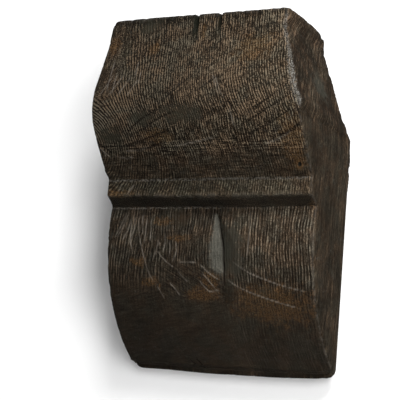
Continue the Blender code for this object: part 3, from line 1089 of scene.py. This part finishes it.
# %% [markdown]
# ### The sides and the cut ends
#
# The sides are sawn along the grain and took the stain more evenly, so their ramp is shorter. The hewn
# face is rougher and browner, with a grey-green place and a little rust-brown along its edge. Top and
# underside are cut like the sides, with streaks that run out from the wall.

# %% Colour the sides, the top and the underside
SIDE_STEPS = (
    (0.00, (0.010, 0.0072, 0.0042, 1)), (0.30, (0.021, 0.0156, 0.0104, 1)),
    (0.60, (0.032, 0.0246, 0.0166, 1)), (0.85, (0.052, 0.0400, 0.0280, 1)),
    (1.00, (0.100, 0.0800, 0.0620, 1)),
)
SIDE_TINT, HEWN_TINT = (0.92, 0.90, 0.86, 1), (1.04, 0.955, 0.86, 1)
GREY_GREEN, RUST_BROWN = (0.046, 0.047, 0.036, 1), (0.075, 0.045, 0.022, 1)
GREY_GREEN_PLACE = ((66, -34, 72), (16, 16, 12))
RUSTY_PLACES = (((74, -66, 60), (6, 8, 9)), ((70, -52, 88), (8, 9, 12)), ((62, -30, 104), (8, 12, 8)))

on_hewn_face = ramp(plus(pz, times(py, 0.06)), 34.0, 46.0)
# Painted shade: the hewn face tilts up towards the light, so its tone is lowered, most near its foot, so that
# it shows no brighter than the flat side.
side_tone = plus(
    sway(side_streaks, 2.5), sway(side_pores, 2.0), sway(stipple, 1.2), sway(blotches, 1.8),
    times(on_hewn_face, ramp(pz, 60.0, 90.0, -0.16, -0.05)), ramp(pz, 40.0, 10.0, -0.14, -0.21))
side_tone = times(side_tone, plus(0.8, times(on_hewn_face, 0.55)))
long_grain_tone = ramp(side_tone, -0.75, 0.75)
cap_tone = ramp(plus(sway(cap_streaks, 4.0), sway(blotches, 1.4), -0.2), -0.75, 0.75)
cap_change = maths("SUBTRACT", cap_tone, long_grain_tone)
shown_side_tone = plus(times(stored_value("cap"), cap_change), long_grain_tone)
side_colour = dyed(tinted(shown_side_tone, SIDE_STEPS), warmth)
side_colour = dyed(side_colour, mixed(on_hewn_face, SIDE_TINT, HEWN_TINT))
side_colour = mixed(times(patch(*GREY_GREEN_PLACE), 0.4), side_colour, GREY_GREEN)
side_colour = mixed(times(patches(RUSTY_PLACES), ramp(side_pores, 0.40, 0.66), 0.45), side_colour, RUST_BROWN)
colour = mixed(front, side_colour, front_colour)
print("sides are coloured,", len(finish.nodes), "nodes so far")

# %% [markdown]
# ### Worn places
#
# In places the stain was rubbed through, and the wood shows orange-brown between the pores that still hold
# stain. The nail hole has a rusty ring and a dark middle. On the arrises the bare wood is grey, most of
# all along the hewn corner, where a painted glint is speckled over the grey.

# %% Let the stain wear thin in patches
THIN_STAIN = (0.105, 0.054, 0.018, 1)
RUSTY_BELLY, RUSTY_HEAD = (1.34, 0.92, 0.52, 1), (1.20, 0.97, 0.70, 1)
THIN_PLACES = (
    ((-28, -80, 31), (15, 30, 6)), ((68, -70, 30), (11, 40, 22)), ((-38, -72, 92), (7, 20, 7)),
    ((-70, -72, 96), (5, 20, 9)), ((36, -72, 88), (16, 20, 14)), ((-35, -50, -20), (11, 20, 4)),
    ((-20, -50, -31), (11, 20, 3)), ((-52, -48, -47), (8, 20, 4)), ((-43, -48, -60), (9, 20, 4)),
    ((-3, -42, -67), (15, 30, 6)), ((2, -45, -58), (8, 20, 7)), ((48, -42, -72), (36, 30, 17)),
    ((-66, -58, -3), (16, 10, 3.5)), ((76, -55, -9), (7, 14, 4)), ((-3.5, -70, 103), (2.5, 10, 7)),
)

speckle = ramp(plus(front_pores, times(stipple, 0.6)), 0.66, 0.92)
thin = times(patches(THIN_PLACES), front, plus(0.22, times(speckle, 0.78)))
rusty = mixed(ramp(pz, 10.0, 20.0), RUSTY_BELLY, RUSTY_HEAD)
colour = mixed(times(thin, 0.65), colour, dyed(colour, rusty))
colour = mixed(times(thin, speckle, 0.40), colour, THIN_STAIN)
around_nail = stored_value("hole")
colour = mixed(times(around_nail, 0.6), colour, THIN_STAIN)
# The nail hole's dark middle is partly stain and partly painted shade in the hole.
colour = mixed(ramp(around_nail, 0.80, 0.97), colour, DARK_STAIN_AND_SHADE)
print("stain is worn,", len(finish.nodes), "nodes so far")

# %% Rub the arrises and the edges of the fillet
BARE_ARRIS, WORN_BROWN = (0.160, 0.146, 0.126, 1), (0.090, 0.064, 0.038, 1)
HEWN_GREY, HEWN_GLINT = (0.115, 0.110, 0.098, 1), (0.250, 0.240, 0.220, 1)

from_arris = plus(stored_value("arris_mm"), sway(rag, 5.0))
arris_band = times(ramp(from_arris, 2.6, 0.6), ramp(rag, 0.40, 0.62))
hewn_arris = times(
    ramp(from_arris, ramp(pz, 92.0, 62.0, 3.0, 4.6), 0.8), ramp(pz, 44.0, 52.0), ramp(pz, 113.0, 107.0),
    ramp(px, 44.0, 51.0), ramp(py, -44.0, -56.0), ramp(stipple, 0.35, 0.6),
    ramp(lumpy(place_mm, 2.6, 2.0, 0.6), 0.36, 0.55, 0.25, 1.0))
colour = mixed(times(arris_band, 0.15), colour, BARE_ARRIS)
colour = mixed(times(hewn_arris, 0.75), colour, HEWN_GREY)
# Painted glint: pale highlights speckled over the hewn arris, stronger towards its foot.
glint = times(hewn_arris, ramp(stipple, 0.50, 0.72), ramp(pz, 88.0, 72.0, 0.2, 0.8))
colour = mixed(glint, colour, HEWN_GLINT)


def edge_at(edge_height, outer, inner):
    """1 on a level edge of the front and 0 away from it."""
    return ramp(maths("ABSOLUTE", plus(pz, -edge_height)), outer, inner)


broken_edge = ramp(lumpy(vector(px, 0.0, times(pz, 2.0)), 2.4, 3.0, 0.6), 0.42, 0.60)
belly_edge = times(edge_at(-10.9, 1.0, 0.3), ramp(px, -10.0, 20.0, 1.0, 0.3))
lower_edge = times(edge_at(-2.9, 1.5, 0.5), front)
colour = mixed(times(broken_edge, front, most(edge_at(6.2, 1.1, 0.3), belly_edge), 0.45), colour, BARE_ARRIS)
colour = mixed(times(ramp(rag, 0.35, 0.55), lower_edge, 0.15), colour, WORN_BROWN)
print("edges are rubbed,", len(finish.nodes), "nodes so far")

# %% [markdown]
# ### The long check, the rays and the fine checks
#
# The left wall of the long check faces the light: its pale grey is a painted highlight on wood that was
# also rubbed pale. The right wall is painted in shade, dark and smooth.
# Rays show pale where they are whole, fine checks show dark, and the deepest cracks are nearly black,
# partly from stain in them and partly as painted shade in their depth.

# %% Colour the long check, the rays, the checks and the groove
CHECK_SHADE_GREY = (0.0270, 0.0278, 0.0215, 1)
PALE_WALL_HIGHLIGHT, DARK_WALL_SHADE = (0.061, 0.059, 0.048, 1), (0.022, 0.0218, 0.0165, 1)
RAY_PALE = (0.230, 0.200, 0.165, 1)
CHECK_DARK, CRACK_DARK = (0.010, 0.007, 0.004, 1), (0.006, 0.004, 0.0025, 1)
NOTCH_DARK = (0.0042, 0.0046, 0.0020, 1)
BETWEEN_NOTCHES = ((-2, -70, 110), (1.5, 20, 7))

# Painted shade: a smooth grey-green darkening over the shaded side, right of the long check.
colour = mixed(times(check_shade_side, 0.50), colour, CHECK_SHADE_GREY)
check_wall = plus(stored_value("flank"), sway(rag, 0.7), sway(front_streaks, 0.5))
mottle = grey(plus(1.0, sway(rag, 0.9), sway(stipple, 0.7), sway(front_streaks, 0.6)))
# Painted highlight on the left wall of the long check, which faces the light and was also rubbed pale, and
# painted shade on the right wall, which faces away from it.
wall_highlight_share = times(ramp(times(check_wall, -1.0), 0.04, 0.40), 0.84)
wall_shade_share = times(ramp(plus(check_wall, sway(rag, 0.8)), 0.05, 0.60), 0.60)
colour = mixed(wall_highlight_share, colour, dyed(PALE_WALL_HIGHLIGHT, mottle))
colour = mixed(wall_shade_share, colour, dyed(DARK_WALL_SHADE, mottle))
ray_break = ramp(lumpy(place_mm, 5.5, 3.0), 0.36, 0.58, 0.35, 1.0)
colour = mixed(times(ray_mask, ray_break, 0.46), colour, RAY_PALE)
# Checks and cracks are darkened partly by stain in them and partly as painted shade in their depth.
colour = mixed(times(stored_value("fine_check"), ramp(rag, 0.32, 0.55), 0.75), colour, CHECK_DARK)
colour = mixed(times(crack_mask, 0.93), colour, CRACK_DARK)
# The dark strips down from the top checks, and the dark place between them, are partly stain and partly
# painted shade of the checks.
notch_here = plus(stored_value("notch_mm"), sway(rag, 1.5))
notch_stain_and_shade = times(ramp(notch_here, 3.0, 1.3), ramp(pz, 94.0, 104.0), front, ramp(px, -2.0, 2.0, 0.95, 0.6))
notch_stain_and_shade = most(notch_stain_and_shade, times(patch(*BETWEEN_NOTCHES), front, 0.5))
colour = mixed(notch_stain_and_shade, colour, NOTCH_DARK)
# Painted shade: the groove under the fillet is darkened where the fillet's shadow falls on it.
groove_shade = times(ramp(pz, -10.6, -9.4), ramp(pz, -3.8, -5.2), front)
colour = mixed(times(groove_shade, 0.45), colour, DARK_STAIN_AND_SHADE)
print("checks are coloured,", len(finish.nodes), "nodes so far")

# %% [markdown]
# ### Sheen and fine relief
#
# Rubbed grain is a little shinier than stain that lies in the pores. The mesh carries every shape that
# shows in outline, and a light bump adds only pores and fibres too fine for it.

# %% Connect the shader
BUMP_DEPTH = 0.35 * MM

gloss_tone = maths("MAXIMUM", times(shown_tone, front), times(shown_side_tone, side))
roughness = plus(0.64, times(gloss_tone, -0.16), times(crack_mask, 0.25))
fibre_height = plus(times(shown_tone, front), times(shown_side_tone, less(front), 0.5),
                    times(crack_mask, -0.8), times(ray_mask, 0.3))
bump = add(finish, "ShaderNodeBump", named={"Height": fibre_height})
bump.inputs["Strength"].default_value = 0.85
bump.inputs["Distance"].default_value = BUMP_DEPTH
shader.inputs["Specular IOR Level"].default_value = 0.09
finish.links.new(colour, shader.inputs["Base Color"])
finish.links.new(roughness, shader.inputs["Roughness"])
finish.links.new(bump.outputs["Normal"], shader.inputs["Normal"])
print("oak finish has", len(finish.nodes), "nodes")

# %% [markdown]
# ## Putting the tree to work
#
# The modifier's inputs are set by each socket's identifier before anything is evaluated. The result is
# then turned into a plain mesh, because a finished piece carries no modifier that rebuilds it.


# %% Weather the block and keep the plain mesh
def run_tree(obj, tree, values):
    """Puts a geometry nodes tree on an object with its inputs set, and keeps the result as its mesh."""
    modifier = obj.modifiers.new("weathering", "NODES")
    modifier.node_group = tree
    for item in tree.interface.items_tree:
        if item.item_type == "SOCKET" and item.in_out == "INPUT" and item.name in values:
            modifier[item.identifier] = values[item.name]
    bpy.context.view_layer.update()
    evaluated = obj.evaluated_get(bpy.context.evaluated_depsgraph_get())
    mesh = bpy.data.meshes.new_from_object(evaluated)
    obj.modifiers.clear()
    obj.data = mesh


for helper in stroke_objects.values():
    bpy.context.scene.collection.objects.link(helper)
run_tree(corbel, weather, {**stroke_objects, "Finish": oak})
departures = [solid_tree.find_nearest(vertex.co)[3] / MM for vertex in list(corbel.data.vertices)[::37]]
for helper in stroke_objects.values():
    bpy.data.objects.remove(helper, do_unlink=True)
triangles = sum(len(face.vertices) - 2 for face in corbel.data.polygons)
print(corbel.name, triangles, "triangles, at most", round(max(departures), 1), "mm off the solid,",
      round(float(np.mean(departures)), 2), "mm on average")

# %% Let it ride and stand for the solid
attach(corbel, "root")
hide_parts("corbel")

# %% [markdown]
# ## Wall, floor and light
#
# The corbel hangs in front of a plain white wall. A low wide light on the right throws the soft shadow to
# its left, and a higher one the shadow below it. The wall stands a few millimetres behind the back, which
# makes the shadow as wide as in the photograph. The wall and the floor are seen from their front only: from
# behind, light and camera pass through them, so that the back of the block can be looked at too.


# %% Make the wall and the floor
def plain_card(name, corners, colour):
    """A flat card that shows only from the side that its corners turn anticlockwise on."""
    mesh = bpy.data.meshes.new(name)
    mesh.from_pydata([Vector(corner) for corner in corners], [], [(0, 1, 2, 3)])
    card = bpy.data.objects.new(name, mesh)
    bpy.context.scene.collection.objects.link(card)
    material = bpy.data.materials.new(name)
    material.use_nodes = True
    tree = material.node_tree
    surface = tree.nodes["Principled BSDF"]
    surface.inputs["Base Color"].default_value = colour
    surface.inputs["Roughness"].default_value = 1.0
    surface.inputs["Specular IOR Level"].default_value = 0.0
    clear = tree.nodes.new("ShaderNodeBsdfTransparent")
    either = tree.nodes.new("ShaderNodeMixShader")
    tree.links.new(tree.nodes.new("ShaderNodeNewGeometry").outputs["Backfacing"], either.inputs[0])
    tree.links.new(surface.outputs[0], either.inputs[1])
    tree.links.new(clear.outputs[0], either.inputs[2])
    tree.links.new(either.outputs[0], tree.nodes["Material Output"].inputs["Surface"])
    mesh.materials.append(material)
    card.visible_glossy = False
    card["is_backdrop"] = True
    return card


WALL_COLOUR = (0.90, 0.90, 0.90, 1)
WALL_GAP = 0.008
CARD_HALF, CARD_TOP, FLOOR_HEIGHT, FLOOR_NEAR = 3.0, 3.0, -0.9, -4.0
wall_foot = [(-CARD_HALF, WALL_GAP, FLOOR_HEIGHT), (CARD_HALF, WALL_GAP, FLOOR_HEIGHT)]
wall_head = [(CARD_HALF, WALL_GAP, CARD_TOP), (-CARD_HALF, WALL_GAP, CARD_TOP)]
floor_near = [(-CARD_HALF, FLOOR_NEAR, FLOOR_HEIGHT), (CARD_HALF, FLOOR_NEAR, FLOOR_HEIGHT)]
wall = plain_card("wall", wall_foot + wall_head, WALL_COLOUR)
floor = plain_card("floor", floor_near + wall_foot[::-1], WALL_COLOUR)
print("stage:", wall.name, floor.name)


# %% Light it softly from the right
LIGHT_AIM = Vector((0, -0.03, 0))
WORLD_STRENGTH = 0.14


def soft_light(name, place, width, tall, power):
    """A soft light of that width and height in metres and power in watts, aimed at the block."""
    lamp = bpy.data.lights.new(name, "AREA")
    lamp.shape = "RECTANGLE"
    lamp.size, lamp.size_y = width, tall
    lamp.energy = power
    holder = bpy.data.objects.new(name, lamp)
    holder.location = place
    holder.rotation_euler = (LIGHT_AIM - Vector(place)).to_track_quat("-Z", "Y").to_euler()
    bpy.context.scene.collection.objects.link(holder)
    return holder


soft_light("key_light", (0.79, -0.90, 0.10), 0.45, 0.8, 12.7)
soft_light("high_light", (0.55, -0.85, 1.05), 0.5, 0.4, 23.0)
world = bpy.data.worlds.new("studio")
world.use_nodes = True
world.node_tree.nodes["Background"].inputs["Color"].default_value = (1, 1, 1, 1)
world.node_tree.nodes["Background"].inputs["Strength"].default_value = WORLD_STRENGTH
bpy.context.scene.world = world
bpy.context.scene.view_settings.view_transform = "Standard"

# %% [markdown]
# ## The camera
#
# The photograph was taken from low on the right with a long lens, and the camera was tipped a little.
# The eye's place is in metres from the middle of the block's back. Yaw turns the view to the left, pitch
# lifts it and roll tips the picture.

# %% Place the camera
EYE = Vector((0.41370, -0.81409, -0.15181))
YAW, PITCH, ROLL = math.radians(28.843), math.radians(9.496), math.radians(4.692)
LENS_MM = 121.44

ahead = Vector((-math.sin(YAW) * math.cos(PITCH), math.cos(YAW) * math.cos(PITCH), math.sin(PITCH)))
sideways = Vector((math.cos(YAW), math.sin(YAW), 0))
upward = sideways.cross(ahead)
right = sideways * math.cos(ROLL) + upward * math.sin(ROLL)
up = upward * math.cos(ROLL) - sideways * math.sin(ROLL)
camera_data = bpy.data.cameras.new("camera")
camera_data.lens = LENS_MM
camera_data.sensor_width = 36.0
camera = bpy.data.objects.new("camera", camera_data)
turn = Matrix((right, up, -ahead)).transposed().to_4x4()
camera.matrix_world = Matrix.Translation(EYE) @ turn
bpy.context.scene.collection.objects.link(camera)
bpy.context.scene.camera = camera
print("camera at", [round(c, 3) for c in EYE], "m with a", LENS_MM, "mm lens")

# %% Write the sizes and finish
visual_box = [list(corner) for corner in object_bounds()]
visual_low, visual_high = ([round(c / MM, 1) for c in corner] for corner in visual_box)
print("visual from", visual_low, "to", visual_high, "mm")
